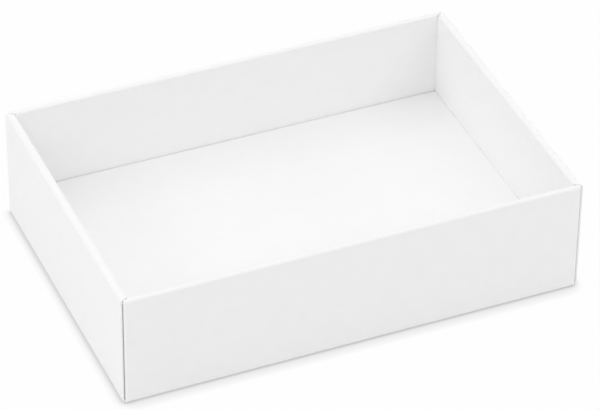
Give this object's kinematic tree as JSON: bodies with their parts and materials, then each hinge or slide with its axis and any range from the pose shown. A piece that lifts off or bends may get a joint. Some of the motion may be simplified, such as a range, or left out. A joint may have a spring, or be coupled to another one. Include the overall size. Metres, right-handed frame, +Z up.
{
  "type": "folded tray",
  "caption": "Shallow rectangular open tray folded from white lined board, with double walls, mitred rims, lock tabs and a legged platform that lifts out.",
  "frame": {"origin": "middle of the tray's underside, on the surface it stands on", "axes": "+Z up, X along the long walls with +X to the right, -Y towards the front wall"},
  "size_m": [0.3112, 0.2124, 0.0795],
  "materials": {
    "white_board": "matt white liner",
    "platform_board": "matt white liner"
  },
  "bodies": {
    "tray": {"base_panel": "white_board", "front_outer_wall": "white_board", "front_rim": "white_board", "front_inner_wall": "white_board", "right_outer_wall": "white_board", "right_rim": "white_board", "right_inner_wall": "white_board", "back_outer_wall": "white_board", "back_rim": "white_board", "back_inner_wall": "white_board", "left_outer_wall": "white_board", "left_rim": "white_board", "left_inner_wall": "white_board", "front_right_flap": "white_board", "back_right_flap": "white_board", "front_left_flap": "white_board", "back_left_flap": "white_board"},
    "platform": {"platform_top": "platform_board"},
    "front_leg": {"front_leg": "platform_board"},
    "right_leg": {"right_leg": "platform_board"},
    "back_leg": {"back_leg": "platform_board"},
    "left_leg": {"left_leg": "platform_board"}
  },
  "joints": [
    {"name": "platform_lift", "type": "slide", "parent": "tray", "child": "platform", "axis": [0, 0, 1], "range_m": [0, 0.1]},
    {"name": "front_leg_fold", "type": "hinge", "parent": "platform", "child": "front_leg", "pos_m": [0, -0.1009, 0.0147], "axis": [1, 0, 0], "range_deg": [0, 90]},
    {"name": "right_leg_fold", "type": "hinge", "parent": "platform", "child": "right_leg", "pos_m": [0.1489, 0, 0.0147], "axis": [0, 1, 0], "range_deg": [0, 90]},
    {"name": "back_leg_fold", "type": "hinge", "parent": "platform", "child": "back_leg", "pos_m": [0, 0.1009, 0.0147], "axis": [-1, 0, 0], "range_deg": [0, 90]},
    {"name": "left_leg_fold", "type": "hinge", "parent": "platform", "child": "left_leg", "pos_m": [-0.1489, 0, 0.0147], "axis": [0, -1, 0], "range_deg": [0, 90]}
  ]
}
